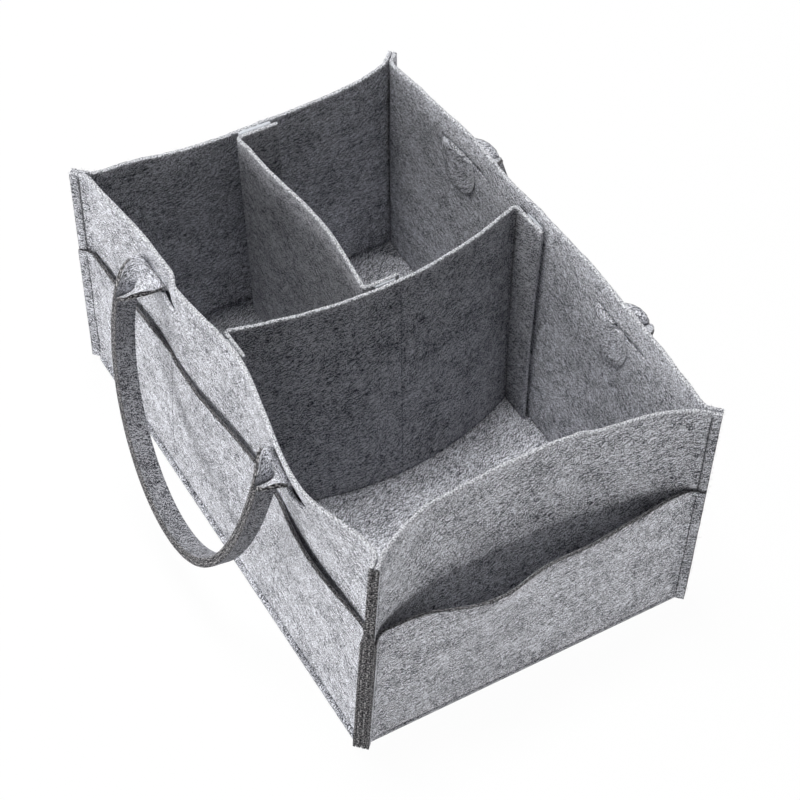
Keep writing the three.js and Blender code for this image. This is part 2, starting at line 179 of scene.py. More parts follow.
print("a hump of reach 10 is", hump(np.array([0, 5, 10]), 0, 10).round(2), "at 0, 5 and 10 mm")

# %% [markdown]
# ## A felt sheet as a mesh
# Every panel is the same kind of thing: a surface with two faces and a cut edge. It could be a plane
# with a Solidify modifier, but a sheet that is built directly can keep a flat layout for its fibres
# and know where its cut edges are. The grid of middle points is moved half a thickness to each side,
# cells can be left out for a slit, and every free edge gets a rim.
#
# The whole caddy is also racked a little: seen from the front, its rim sits further right than its
# floor at the front end and further left at the back end. That one shear is applied to every mesh.

# %% Mesh helper
rack_front, rack_all = 3.0, 0.7


def make_mesh(name, points, faces, material):
    """A mesh object at the origin from points in millimetres and four-cornered faces. The points are
    racked sideways in proportion to their height, by an amount that changes from front to back."""
    sway = (2 * points[:, 2] / rim_z - 1) * (rack_all - rack_front * points[:, 1] / inside_y)
    placed = points + sway[:, None] * np.array([1.0, 0.0, 0.0])
    mesh = bpy.data.meshes.new(name)
    mesh.vertices.add(len(points))
    mesh.vertices.foreach_set("co", (placed / MM).astype(np.float32).ravel())
    mesh.loops.add(faces.size)
    mesh.loops.foreach_set("vertex_index", faces.astype(np.int32).ravel())
    mesh.polygons.add(len(faces))
    mesh.polygons.foreach_set("loop_start", np.arange(0, faces.size, 4, dtype=np.int32))
    mesh.update(calc_edges=True)
    mesh.shade_smooth()
    mesh.materials.append(material)
    piece = bpy.data.objects.new(name, mesh)
    bpy.context.scene.collection.objects.link(piece)
    return piece


print("rim racked to the right, mm: front", rack_all + rack_front, "back", rack_all - rack_front)

# %% [markdown]
# The faces of a sheet come from its grid alone. Its lengths along the rows and up the columns give the
# flat layout, which is how the felt was cut, and the cells that have no neighbour give the free edges.

# %% Grid helpers


def grid_normals(middle):
    """Unit normals of a grid: the step along a row crossed with the step up a column."""
    normal = np.cross(np.gradient(middle, axis=1), np.gradient(middle, axis=0))
    return normal / np.linalg.norm(normal, axis=2, keepdims=True)


def flat_layout(middle):
    """Where each grid point lies on the flat felt: the lengths along its row and up its column."""
    across = np.linalg.norm(np.diff(middle, axis=1), axis=2).mean(axis=0)
    upward = np.linalg.norm(np.diff(middle, axis=0), axis=2).mean(axis=1)
    u = np.concatenate([[0], np.cumsum(across)])
    v = np.concatenate([[0], np.cumsum(upward)])
    return np.stack(np.meshgrid(u, v), axis=2)


def sheet_cells(rows, columns, missing):
    """The four corner numbers of every kept cell of a grid, and the start and end of every free edge. An
    edge is free where the cell beyond it is missing or lies outside the grid."""
    here = np.arange(rows * columns).reshape(rows, columns)
    kept = np.ones((rows - 1, columns - 1), bool) if missing is None else ~missing
    corners = [here[:-1, :-1], here[:-1, 1:], here[1:, 1:], here[1:, :-1]]
    around = np.pad(kept, 1)
    neighbours = [around[:-2, 1:-1], around[1:-1, 2:], around[2:, 1:-1], around[1:-1, :-2]]
    starts = np.concatenate([corners[k][kept & ~neighbours[k]] for k in range(4)])
    ends = np.concatenate([corners[(k + 1) % 4][kept & ~neighbours[k]] for k in range(4)])
    return np.stack([corner[kept] for corner in corners], 1), starts, ends


cells, starts, ends = sheet_cells(3, 4, None)
print("a grid of 3 by 4 points has", len(cells), "cells and", len(starts), "free edges")

# %% [markdown]
# The UV map holds the place on the flat felt in metres, so that the fibres follow the sheet. The
# attribute "edge" is positive where a cut edge gets a painted highlight, and negative on a dark cut
# edge, on the painted shade along a pocket lip and on the painted shade of a seam. The attribute "shade"
# is how much painted shade darkens a part of the felt. Every sheet is cut from its own place on the
# roll, so no two show the same fibres.

# %% Felt sheets
edge_round, edge_drawn = 1.3, 0.62
roll_step, roll_length = 517.0, 3000.0
face_apart = 450.0
# Seams are darkened with painted shade along their grooves, and the painted highlight of a rim fades over the
# two rows below it.
seam_shade = -0.7
rim_highlight_fade = ((2, 0.35), (1, 0.9))


def felt_uv(layout, cells, starts, ends):
    """The place on the roll of every face corner: the near faces, the far faces a stretch further along,
    and the rim as a strip one felt wide whose run is the sum of both flat lengths."""
    roll_place = roll_step * len(bpy.data.meshes) % roll_length
    flat_place = layout.reshape(-1, 2) + [0, roll_place]
    run = flat_place.sum(axis=1)
    rim = np.stack([np.stack([run[k], np.full(len(k), w)], 1) for k, w in
                    ((starts, 0), (ends, 0), (ends, felt), (starts, felt))], 1)
    near = flat_place[cells[:, [0, 3, 2, 1]]]
    return np.concatenate([near, flat_place[cells] + [face_apart, 0], rim + [0, face_apart]]) / MM


def edge_tones(shape, tones, seams):
    """The edge value of every grid point: that of its border, painted shade on seams, and a painted
    highlight that fades below a pale top.
    """
    tone = np.zeros(shape)
    tone[:, seams or []] = seam_shade
    for depth, share in rim_highlight_fade:
        tone[-1 - depth] = share * max(tones[2], 0)
    tone[:, 0], tone[:, -1], tone[0], tone[-1] = tones[3], tones[1], tones[0], tones[2]
    return tone


def felt_sheet(name, middle, tones, material, missing=None, thickness=None, seams=None, shade=0.0):
    """A closed sheet round a grid of middle points. Its faces lie half a thickness to each side, drawn in
    near the border by the square root of one minus a share of the squared depth, and a rim joins them along
    every free edge. tones are the edge values of the bottom, right, top and left borders, where a positive
    value is a painted highlight, seams are columns that painted shade darkens, thickness is one value or
    one for each point, and shade is how much painted shade darkens the felt. A sheet with a list of seams,
    even an empty one, keeps its side ends square."""
    layout = flat_layout(middle)
    u, v = layout[..., 0], layout[..., 1]
    border = np.minimum(v, v.max() - v)
    if seams is None:
        border = np.minimum(border, np.minimum(u, u.max() - u))
    share = 1 - np.clip(border / edge_round, 0, 1)
    half = (felt if thickness is None else thickness) / 2 * np.sqrt(1 - edge_drawn * share**2)
    aside = grid_normals(middle) * half[..., None]
    points = np.concatenate([(middle - aside).reshape(-1, 3), (middle + aside).reshape(-1, 3)])
    cells, starts, ends = sheet_cells(*u.shape, missing)
    far = u.size
    faces = np.concatenate([cells[:, [0, 3, 2, 1]], cells + far,
                            np.stack([starts, ends, ends + far, starts + far], 1)])
    piece = make_mesh(name, points, faces, material)
    corner_uv = felt_uv(layout, cells, starts, ends)
    piece.data.uv_layers.new(name="felt").data.foreach_set("uv", corner_uv.astype(np.float32).ravel())
    for attribute, values in (("edge", edge_tones(u.shape, tones, seams)),
                              ("shade", np.broadcast_to(shade, u.shape))):
        value = np.tile(values.ravel(), 2).astype(np.float32)
        piece.data.attributes.new(attribute, "FLOAT", "POINT").data.foreach_set("value", value)
    size = tuple(layout[-1, -1] / MM)
    print(name, u.shape, "grid,", len(faces), "faces, flat", np.round(size, 3), "m")
    return piece, size


def settle(piece, nodes, body=None):
    """Hides the solids that a sheet stands for and hangs the sheet on its body, if one is given."""
    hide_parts(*nodes)
    if body:
        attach(piece, body)


print("every sheet is cut", roll_step, "mm further along a roll of", roll_length, "mm")

# %% [markdown]
# ## Node helper and colours
# Colours are written as sRGB hex values, as a colour picker gives them, and the shader wants linear
# ones. One helper adds any node with its settings and links.

# %% Node helper


def linear(code):
    """A linear colour with alpha from an sRGB hex code."""
    channels = np.array([int(code[k:k + 2], 16) for k in (1, 3, 5)]) / 255
    low, high = channels / 12.92, ((channels + 0.055) / 1.055) ** 2.4
    return (*np.where(channels <= 0.04045, low, high), 1.0)


def add_node(tree, kind, inputs=None, **settings):
    """Adds a node. Settings are its properties, and each input is a value or another node's output."""
    made = tree.nodes.new(kind)
    for name, value in settings.items():
        setattr(made, name, value)
    for key, value in (inputs or {}).items():
        if isinstance(value, bpy.types.NodeSocket):
            tree.links.new(value, made.inputs[key])
        else:
            made.inputs[key].default_value = value
    return made


def set_ramp(ramp_node, colours):
    """Puts colours on a colour ramp: pairs of a place from 0 to 1 and a hex code."""
    ramp = ramp_node.color_ramp
    while len(ramp.elements) < len(colours):
        ramp.elements.new(1.0)
    for element, (place, code) in zip(ramp.elements, colours):
        element.position = place
        element.color = linear(code)


def new_material(name):
    """An empty node material and its tree."""
    material = bpy.data.materials.new(name)
    material.use_nodes = True
    material.node_tree.nodes.clear()
    return material, material.node_tree


print("mid grey #808080 is", round(linear("#808080")[0], 3), "linear")

# %% [markdown]
# ## Needle-punched polyester felt
# The felt is a mat of short fibres in several greys, punched together by barbed needles. It shows a
# pale ground with thin dark and white strokes, most of them roughly along the panel, a soft cloudy
# unevenness and no gloss at all. Real fibres are about 0.02 mm thick, far too fine for the
# picture, so the strokes here are the clumps of fibres that the photograph shows, 0.6 mm wide and about
# 5 mm long, over a grain of 0.8 mm. Each layer is noise stretched along its own direction and read from
# the flat layout in the UV map, and the sum of all layers picks the grey.

# %% Felt strokes
fibre_layers = ((28, 6.5, 0.6, 0.8), (6, 5.5, 0.6, 0.7), (55, 5.0, 0.6, 0.6), (-35, 4.5, 0.6, 0.5),
                (0, 0.8, 0.8, 1.6), (0, 30.0, 20.0, 0.25))
swerve_size, swerve_spacing = 1.2, 14.0


def felt_strokes(tree, flat):
    """The weighted sum of all layers of strokes, round 0: each has an angle in degrees, a length and width in
    millimetres and a weight. The strokes swerve by a slow noise."""
    bend = add_node(tree, "ShaderNodeTexNoise", {"Vector": flat, "Scale": 1 / swerve_spacing, "Detail": 1.0},
                    noise_dimensions="2D")
    swerve = add_node(tree, "ShaderNodeVectorMath",
                      {0: bend.outputs["Color"], 1: (swerve_size, swerve_size, 0.0), 2: flat},
                      operation="MULTIPLY_ADD")
    total = -0.5 * sum(weight for angle, length, width, weight in fibre_layers)
    for angle, length, width, weight in fibre_layers:
        turn = add_node(tree, "ShaderNodeMapping",
                        {"Vector": swerve.outputs[0], "Rotation": (0, 0, np.radians(angle)),
                         "Scale": (length, width, 1.0)}, vector_type="TEXTURE")
        strokes = add_node(tree, "ShaderNodeTexNoise",
                           {"Vector": turn.outputs[0], "Scale": 1.0, "Detail": 2.0, "Roughness": 0.6},
                           noise_dimensions="2D")
        layer = add_node(tree, "ShaderNodeMath", {0: strokes.outputs["Fac"], 1: weight, 2: total},
                         operation="MULTIPLY_ADD")
        total = layer.outputs[0]
    return total


print("felt with", len(fibre_layers), "layers of strokes")

# %% [markdown]
# A cut edge shows the ends of the fibres as coarse specks. Along the rims and the tops of the dividers
# they are nearly white, a painted highlight where the light falls on them. They are dark along the corner
# fins and the open edges of the handles, and along the pocket lips, where the dark is painted shade under
# the wall. The hanging parts of the handle bands, both dividers and the creases at the divider folds are
# darkened by painted shade, which the attribute "shade" mixes in.

# %% Felt material
grey_ground = ((0.0, "#22232a"), (0.22, "#696a72"), (0.45, "#a5a6ae"), (0.7, "#cbccd4"), (1.0, "#f8f9ff"))
# The dark specks colour dark cut edges and the painted shade on pocket lips and seams, the pale specks are
# the painted highlight on rims and tops, and the deep grey is the painted shade that "shade" mixes in.
dark_and_shaded_specks = ((0.4, "#1b1b1d"), (0.52, "#48474a"), (0.66, "#a9a7a8"))
highlight_specks = ((0.4, "#3a3b40"), (0.48, "#b9bac0"), (0.6, "#f4f5f8"))
painted_shade_grey = "#0c0c0e"
stroke_contrast = 4.4
speck_size = 1.1


def needle_felt(name):
    """Matt felt: dark and pale strokes on a grey ground, mixed in turn with painted shade, with the dark and
    shaded specks of cut edges and with their painted highlight.
    """
    material, tree = new_material(name)
    layout = add_node(tree, "ShaderNodeUVMap", uv_map="felt")
    flat = add_node(tree, "ShaderNodeVectorMath", {0: layout.outputs["UV"], "Scale": MM}, operation="SCALE")
    level = add_node(tree, "ShaderNodeMath",
                     {0: felt_strokes(tree, flat.outputs[0]), 1: stroke_contrast, 2: 0.5},
                     operation="MULTIPLY_ADD", use_clamp=True)
    ground = add_node(tree, "ShaderNodeValToRGB", {"Fac": level.outputs[0]})
    set_ramp(ground, grey_ground)
    shade = add_node(tree, "ShaderNodeAttribute", attribute_name="shade")
    edge = add_node(tree, "ShaderNodeAttribute", attribute_name="edge")
    speck = add_node(tree, "ShaderNodeTexNoise",
                     {"Vector": flat.outputs[0], "Scale": 1 / speck_size, "Detail": 1.5},
                     noise_dimensions="2D")
    layers = [(shade.outputs["Fac"], linear(painted_shade_grey))]
    for sign, specks in ((-1.0, dark_and_shaded_specks), (1.0, highlight_specks)):
        share = add_node(tree, "ShaderNodeMath", {0: edge.outputs["Fac"], 1: sign}, operation="MULTIPLY",
                         use_clamp=True)
        tint = add_node(tree, "ShaderNodeValToRGB", {"Fac": speck.outputs["Fac"]})
        set_ramp(tint, specks)
        layers.append((share.outputs[0], tint.outputs["Color"]))
    colour = ground.outputs["Color"]
    for share, tint in layers:
        mixed = add_node(tree, "ShaderNodeMix", {"Factor": share, 6: colour, 7: tint}, data_type="RGBA")
        colour = mixed.outputs[2]
    bump = add_node(tree, "ShaderNodeBump", {"Height": level.outputs[0], "Strength": 0.4, "Distance": 0.0005})
    shader = add_node(tree, "ShaderNodeBsdfPrincipled",
                      {"Base Color": colour, "Normal": bump.outputs[0], "Roughness": 0.95,
                       "Specular IOR Level": 0.1, "Sheen Weight": 0.1, "Sheen Roughness": 0.5})
    add_node(tree, "ShaderNodeOutputMaterial", {"Surface": shader.outputs[0]})
    return material


grey_felt = needle_felt("needle_punched_polyester_felt")
print("felt has", len(grey_felt.node_tree.nodes), "nodes")

# %% [markdown]
# ## Hook tape, sewing thread and loose fibres
# The dividers are held by hook tape, a pale woven strip with rows of tiny nylon hooks. The seams are
# sewn with a twisted polyester thread whose dark grey is partly its own grey and partly painted shade of
# the dimples that the stitches press into the felt, and single fibres stand out of the felt's cut edges.

# %% Tape, thread and fibre materials
hook_spacing = 1.2
hook_colours = ((0.1, "#dcdfe4"), (0.45, "#bec2c9"), (0.75, "#9599a1"))


def hook_weave(name):
    """Pale tape with an uneven lattice of hooks: darker between the hooks and raised where they stand."""
    material, tree = new_material(name)
    layout = add_node(tree, "ShaderNodeUVMap", uv_map="felt")
    hooks = add_node(tree, "ShaderNodeTexVoronoi",
                     {"Vector": layout.outputs["UV"], "Scale": MM / hook_spacing, "Randomness": 0.35},
                     voronoi_dimensions="2D")
    shade = add_node(tree, "ShaderNodeValToRGB", {"Fac": hooks.outputs["Distance"]})
    set_ramp(shade, hook_colours)
    bump = add_node(tree, "ShaderNodeBump",
                    {"Height": hooks.outputs["Distance"], "Strength": 0.8, "Distance": 0.0004}, invert=True)
    shader = add_node(tree, "ShaderNodeBsdfPrincipled",
                      {"Base Color": shade.outputs["Color"], "Normal": bump.outputs[0], "Roughness": 0.6})
    add_node(tree, "ShaderNodeOutputMaterial", {"Surface": shader.outputs[0]})
    return material


def spun_fibre(name, dark, pale, grain):
    """Fibre that changes between two greys every few grains, in millimetres of the object's own space."""
    material, tree = new_material(name)
    own_space = add_node(tree, "ShaderNodeTexCoord")
    noise = add_node(tree, "ShaderNodeTexNoise", {"Vector": own_space.outputs["Object"], "Scale": MM / grain})
    shade = add_node(tree, "ShaderNodeValToRGB", {"Fac": noise.outputs["Fac"]})
    set_ramp(shade, ((0.35, dark), (0.65, pale)))
    bump = add_node(tree, "ShaderNodeBump",
                    {"Height": noise.outputs["Fac"], "Strength": 0.5, "Distance": 0.0002})
    shader = add_node(tree, "ShaderNodeBsdfPrincipled",
                      {"Base Color": shade.outputs["Color"], "Normal": bump.outputs[0], "Roughness": 0.8})
    add_node(tree, "ShaderNodeOutputMaterial", {"Surface": shader.outputs[0]})
    return material


hook_tape = hook_weave("nylon_hook_tape")
# The thread's dark greys are partly the thread's own grey and partly painted shade of the stitch dimples.
thread = spun_fibre("polyester_sewing_thread", "#37383d", "#5e6065", 0.8)
loose_fibre = spun_fibre("loose_polyester_fibre", "#8d8e93", "#d5d6da", 6.0)
print("materials:", [material.name for material in (hook_tape, thread, loose_fibre)])

# %% [markdown]
# ## How the walls stand
# The photograph shows that no wall is straight: the front rim is drawn in, the back rim too, the right
# wall leans out, and the left wall is pressed in behind its pocket and swings out near the front. Each
# wall has a formula for how far it has moved outward at a place along it and at a height.

# %% Wall shifts


def rise(z, power=1.5):
    """A power of height: 0 at the floor and 1 at the rim."""
    return np.clip(z / rim_z, 0, None) ** power


def front_shift(run, z):
    """Drawn in by a flat-topped arch that is fuller on the left and slacker right of the middle."""
    slack = smooth(run, 37, 50) * (1 - smooth(run, 55, 100))
    drawn = 24 * arch(run / inside_x, 2.5) + 2.5 * hump(run, -78, 40) - 3.2 * slack
    return -drawn * rise(z, 0.7)


def back_shift(run, z):
    """Drawn in by an arch that is fuller on the right."""
    drawn = 12 * arch(run / inside_x, 4) - 5 * hump(run, -88, 60, 27)
    return -drawn * rise(z)


def left_shift(run, z):
    """Drawn in at the middle and back of the rim, swung out near the front, and dented behind the lip."""
    back = smooth(run, 64, 80) * (1 - smooth(run, 115, 187))
    drawn = 6 * hump(run, 0, 75, 55) + 5 * back - 14.4 * hump(run, -120, 95, 67)
    dent = (2 + 5 * hump(run, -35, 85) + 2.5 * hump(run, 112, 55)) * arch(run / inside_y, 4)
    return -drawn * rise(z, 4) - dent * hump(z, 105, 95)


def right_shift(run, z):
    """Leans out, with three faint waves."""
    waves = 2 * hump(run, 92, 50) + 2.2 * hump(run, -38, 60) + 1.5 * hump(run, 12, 35)
    return (7.2 * arch(run / inside_y, 4) + waves) * rise(z)


shifts = {"front": front_shift, "back": back_shift, "left": left_shift, "right": right_shift}


def place(side, run, out, z):
    """A point from the run along a wall, the distance outward and the height."""
    across = {"front": (run, -out), "back": (run, out), "left": (-out, run), "right": (out, run)}[side]
    return np.stack(np.broadcast_arrays(*across, z), axis=-1).astype(float)


halves = {"front": (inside_x, inside_y), "back": (inside_x, inside_y),
          "left": (inside_y, inside_x), "right": (inside_y, inside_x)}
for side, (half, out) in halves.items():
    print(side, "rim moves out by", shifts[side](np.array([-half / 2, 0, half / 2]), rim_z).round(1), "mm")

# %% [markdown]
# ## Wall and pocket panels
# At each corner the two walls are turned outward together and sewn, which leaves a fin of two layers,
# or of four where the pockets are sewn in with them. The seam squeezes the outer layers there to about
# two thirds of their thickness. A panel is therefore one sheet: fin, corner bend, run, corner bend, fin.
# The plan line of a panel is worked out once and then shifted at every height.

# %% Panels
bend_size = 4.0
fin_stitch = 6.0
fin_offset, fin_thickness = (1.05, 0.9), (1.1, 0.63)
grid_step, fin_step = 3.0, 1.6
crown_height, crown_spacing = 0.5, 11.0
lump_height, lump_spacing = 0.4, 26.0
groove_share, groove_width = 0.4, 2.2
flat_foot, squeeze_full = 0.15, 0.4


def plan_line(side, offset, squeezed, run_marks):
    """The plan of a panel that lies an offset outside the corner seam, and a squeezed offset from it in the
    fin: a straight fin along the diagonal, a quadratic curve round the corner, and the straight run. It
    gives run, out and distance past the corner for each column."""
    half, out = halves[side]
    fin = fin_reach / np.sqrt(2)
    tip = np.array([half + fin - squeezed / np.sqrt(2), out + fin + squeezed / np.sqrt(2)])
    corner = np.array([half + offset - squeezed * np.sqrt(2), out + offset])
    length = np.linalg.norm(tip - corner)
    toward = (tip - corner) / length
    past = stops([bend_size, length - fin_stitch, length], fin_step)[::-1]
    straight = corner + np.outer(past, toward)
    t = np.linspace(0, 1, 7)[1:, None]
    curve = (1 - t) ** 2 * (corner + bend_size * toward) + 2 * t * (1 - t) * corner
    curve = curve + t**2 * (corner - [bend_size, 0])
    end = np.concatenate([straight, curve])
    reach = corner[0] - bend_size
    marks = [m for m in run_marks if abs(m) < reach - 1]
    runs = stops([-reach, *marks, reach], grid_step, edges=())[1:-1]
    middle = np.stack([runs, np.full(len(runs), out + offset)], 1)
    line = np.concatenate([end * [-1, 1], middle, end[::-1]])
    beyond = np.clip((np.abs(line[:, 0]) - half) / fin, 0, 1)
    return line[:, 0], line[:, 1], beyond


def panel_grid(side, layer, levels, bulge, run_marks=()):
    """The middle surface of a wall (layer 0) or pocket (layer 1), the thickness of its columns with a groove
    along each fin's seam, and the columns of those seams. The bulge is how far it has moved outward."""
    offset = wall_face + layer * layer_pitch + felt / 2
    run, out, beyond = plan_line(side, offset, offset * fin_offset[layer], run_marks)
    half = halves[side][0]
    seed = layer + 5 * list(halves).index(side)
    share = ((levels - levels[0]) / (levels[-1] - levels[0]))[:, None]
    crown = levels[-1] + crown_height * wander(41 + seed, run, 0 * run, crown_spacing)
    z = levels[0] + share * (crown - levels[0])
    inner = np.clip(run, -half, half)
    lumps = lump_height * wander(11 + seed, run, z, lump_spacing)
    lumps = lumps * (1 - beyond) * smooth(share, 0, flat_foot)
    middle = place(side, run, out + bulge(inner, z) + lumps, z)
    u = flat_layout(middle)[0, :, 0]
    groove = groove_share * hump(np.minimum(u, u[-1] - u), fin_stitch, groove_width)
    squeeze = (fin_thickness[layer] - 1) * smooth(beyond, 0, squeeze_full)
    thickness = felt * (1 + squeeze) * (1 - groove)
    seams = [int(np.argmin(np.abs(u - wanted))) for wanted in (fin_stitch, u[-1] - fin_stitch)]
    return run, middle, thickness, seams


wall_levels = stops([floor_z, lip_z, rim_z], grid_step)
pocket_levels = stops([floor_z, lip_z], grid_step)
# pale is the edge value of a painted highlight, on edges that face up to the light; dark is a dark cut edge,
# and on the pocket lips it is painted shade under the wall.
pale, dark = 0.8, -1.0
print(len(wall_levels), "levels up a wall and", len(pocket_levels), "up a pocket")

# %% [markdown]
# ## The floor
# The floor is one flat cut with slightly rounded corners, and the walls stand on it. Each row of its
# grid is as wide as the outline is there, which gives the round corners without any extra points.

# %% Base panel
corner_round = 7.0
base_row_step, base_column_step = 1.5, 6.0
base_tone = -0.25
base_half = base_high[:2]
straight = base_half[1] - corner_round
base_rows = stops([-base_half[1], -straight, straight, base_half[1]], base_row_step)
base_columns = stops([-1, 1], base_column_step / base_half[0], edges=np.array([0.5, 1.3]) / base_half[0])
into_corner = np.clip(np.abs(base_rows) - straight, 0, corner_round)
widths = base_half[0] - corner_round + np.sqrt(corner_round**2 - into_corner**2)
base_x = base_columns[None, :] * widths[:, None]
base_y = np.repeat(base_rows[:, None], len(base_columns), 1)
base_middle = np.stack([base_x, base_y, np.full(base_x.shape, felt / 2)], axis=2)
base_sheet, base_size = felt_sheet("base_panel_felt", base_middle, (base_tone,) * 4, grey_felt)
settle(base_sheet, ["base_panel"], "root")

# %% [markdown]
# ## The slits
# Each side wall has two slits near its rim, where a handle band comes through. A slit is a straight cut
# that the band pulls open, so the rows of the grid part above and below the cut line in a lens shape,
# and the cells between them are left out. On the left the lower lip also stands off at the front part
# of each slit, because the band pulls it outward.

# %% Side walls with slits
side_stitch = 72.0
slit_spacing = 186.0
slit_length = 58.0
slit_middles = (-slit_spacing / 2, slit_spacing / 2)
slit_ends = [(middle - slit_length / 2, middle + slit_length / 2) for middle in slit_middles]
lip_gap = 0.5
lip_above, lip_below = 18.0, 28.0
slit_lens = {"left": (1.8, 3.2), "right": (0.8, 1.6)}
slit_pull = {"left": 3.5, "right": 0.0}
pull_place, pull_width = 14.0, 20.0


def side_wall(side):
    """A side wall. Two rows follow the lips of its slits, and the cells between them are cut out."""
    marks = [-side_stitch, side_stitch] + [end for ends in slit_ends for end in ends]
    lower, upper = slit_z - lip_gap, slit_z + lip_gap
    levels = np.unique(np.concatenate([stops([floor_z, lip_z, lower], grid_step)[:-2], [lower, upper],
                                       stops([upper, rim_z], grid_step)[2:]]))
    cut = int(np.argmin(np.abs(levels - lower)))
    run, middle, thickness, seams = panel_grid(side, 0, levels, shifts[side], marks)
    open_share = sum(np.sqrt(half_wave(run, low, high)) for low, high in slit_ends)
    below = np.where(levels <= levels[cut], smooth(levels, slit_z - lip_below, lower), 0)
    above = np.where(levels > levels[cut], smooth(-levels, -slit_z - lip_above, -upper), 0)
    lens_above, lens_below = slit_lens[side]
    middle[..., 2] += (lens_above * above - lens_below * below)[:, None] * open_share
    pull = sum(hump(run, low + pull_place, pull_width) for low, high in slit_ends)
    middle[..., 0] -= slit_pull[side] * below[:, None] * pull
    centre = (run[1:] + run[:-1]) / 2
    missing = np.zeros((len(levels) - 1, len(run) - 1), bool)
    missing[cut] = sum((centre > low) & (centre < high) for low, high in slit_ends) > 0
    return middle, thickness, seams, missing


wall_grids = {}
wall_sheets = {}
for side in halves:
    if side in ("left", "right"):
        middle, thickness, seams, missing = side_wall(side)
    else:
        middle, thickness, seams = panel_grid(side, 0, wall_levels, shifts[side])[1:]
        missing = None
    # The rim along the top gets the painted highlight.
    sheet, size = felt_sheet(f"{side}_wall_felt", middle, (0, dark, pale, dark), grey_felt, missing,
                             thickness, seams)
    settle(sheet, [f"{side}_wall"], "root")
    wall_grids[side], wall_sheets[side] = middle, sheet

# %% [markdown]
# ## Pockets
# A pocket is a second sheet sewn to its wall at the corners and along the floor, and on the long sides
# along two upright stitch lines as well. Between its seams the lip stands off. The front lip bulges
# most, left of its middle.

# %% Pocket sheets


def front_bulge(run, z):
    """The front pocket leaves its wall from the floor up: two humps along the lip, growing with height."""
    lip = 13 * hump(run, -42, 55) + 7.5 * hump(run, 25, 85)
    return lip * (np.clip(z - floor_z, 0, None) / (lip_z - floor_z)) ** 2


def standing_off(side, cells):
    """A pocket that follows its wall and stands off between its seams: cells are low, high and gape."""
    def bulge(run, z):
        gape = sum(amount * half_wave(run, low, high) for low, high, amount in cells)
        return shifts[side](run, z) + gape * (np.clip(z - floor_z, 0, None) / (lip_z - floor_z)) ** 2
    return bulge


bulges = {
    "front": front_bulge,
    "back": standing_off("back", [(-inside_x, inside_x, 8)]),
    "left": standing_off("left", [(-inside_y, -side_stitch, 3.4), (-side_stitch, side_stitch, 2.6),
                                  (side_stitch, inside_y, 2.4)]),
    "right": standing_off("right", [(-inside_y, -side_stitch, 6), (-side_stitch, side_stitch, 5),
                                    (side_stitch, inside_y, 6)]),
}
pocket_grids = {}
for side in halves:
    marks = [-side_stitch, side_stitch] if side in ("left", "right") else []
    middle, thickness, seams = panel_grid(side, 1, pocket_levels, bulges[side], marks)[1:]
    # The lip along the top is darkened as painted shade under the wall.
    sheet, size = felt_sheet(f"{side}_pocket_felt", middle, (0, dark, dark, dark), grey_felt, None,
                             thickness, seams)
    settle(sheet, [f"{side}_pocket"], "root")
    pocket_grids[side] = middle

# %% [markdown]
# ## Dividers
# The cross divider runs from wall to wall and bows to the front. Both of its ends are folded to the
# front into flaps that hold hook tape. The short divider runs from the cross divider to the back wall
# with its flaps folded to the right, and its back end is fixed a little higher. Both are one sheet
# that follows a bent plan line at every level. The flaps stand clear of everything above them, so that
# each divider can be lifted straight out.

# %% Divider lines
flap_length = 26.0
fold_size = 3.5
tape_room = 2.0
right_flap_spread = 4.5
foot_gap, foot_place, foot_width, foot_share = 3.0, -4.0, 14.0, 0.3
bow_at_floor, bow_at_top = 27.0, 19.0
left_end, left_lean = 16.0, 7.0
right_end, right_lean = 15.8, 12.6
edge_wave = {"cross": (0.5, 14.0), "short": (0.6, 12.0)}
cross_low, cross_high = box_mm("cross_divider")
divider_top = cross_high[2]
divider_levels = stops([floor_z, divider_top], grid_step)
height = divider_levels[:, None]
height_share = (divider_levels - floor_z) / (divider_top - floor_z)
cross_left = cross_low[0] + felt / 2


def folded_line(corners):
    """Columns along four corner points, with a quadratic curve round the two inner ones. The corners
    have one row for each level, so the result is a grid of plan points."""
    ends = np.array(corners, float)
    columns = []
    for k in range(3):
        a, b = ends[k], ends[k + 1]
        span = np.linalg.norm(b - a, axis=1, keepdims=True)
        toward = (b - a) / span
        first = a + toward * fold_size * (k > 0)
        last = b - toward * fold_size * (k < 2)
        shares = stops([0, span.mean()], grid_step, edges=(0.5, 1.3) if k != 1 else ()) / span.mean()
        columns.append(first[:, None] + shares[None, :, None] * (last - first)[:, None])
        if k < 2:
            onward = (ends[k + 2] - b) / np.linalg.norm(ends[k + 2] - b, axis=1, keepdims=True)
            t = np.linspace(0, 1, 8)[1:-1][None, :, None]
            start, finish = (b - toward * fold_size)[:, None], (b + onward * fold_size)[:, None]
            columns.append((1 - t) ** 2 * start + 2 * t * (1 - t) * b[:, None] + t**2 * finish)
    return np.concatenate(columns, axis=1)


def upright(line, z):
    """Grid points from plan points and heights."""
    return np.concatenate([line, np.broadcast_to(z, line.shape[:2])[..., None]], axis=2)


def right_flap_x(y):
    """How far right the cross divider's right flap stands at each level, just inside the right wall."""
    return inside_x + wall_face + right_shift(y, divider_levels) - tape_room - felt / 2


def cross_bow(x, share):
    """How far the cross divider bows to the front: an arch between its ends, deeper at the floor."""
    from_middle = (x - (cross_left + inside_x) / 2) / ((inside_x - cross_left) / 2)
    return (bow_at_floor + (bow_at_top - bow_at_floor) * share) * arch(from_middle, 2)


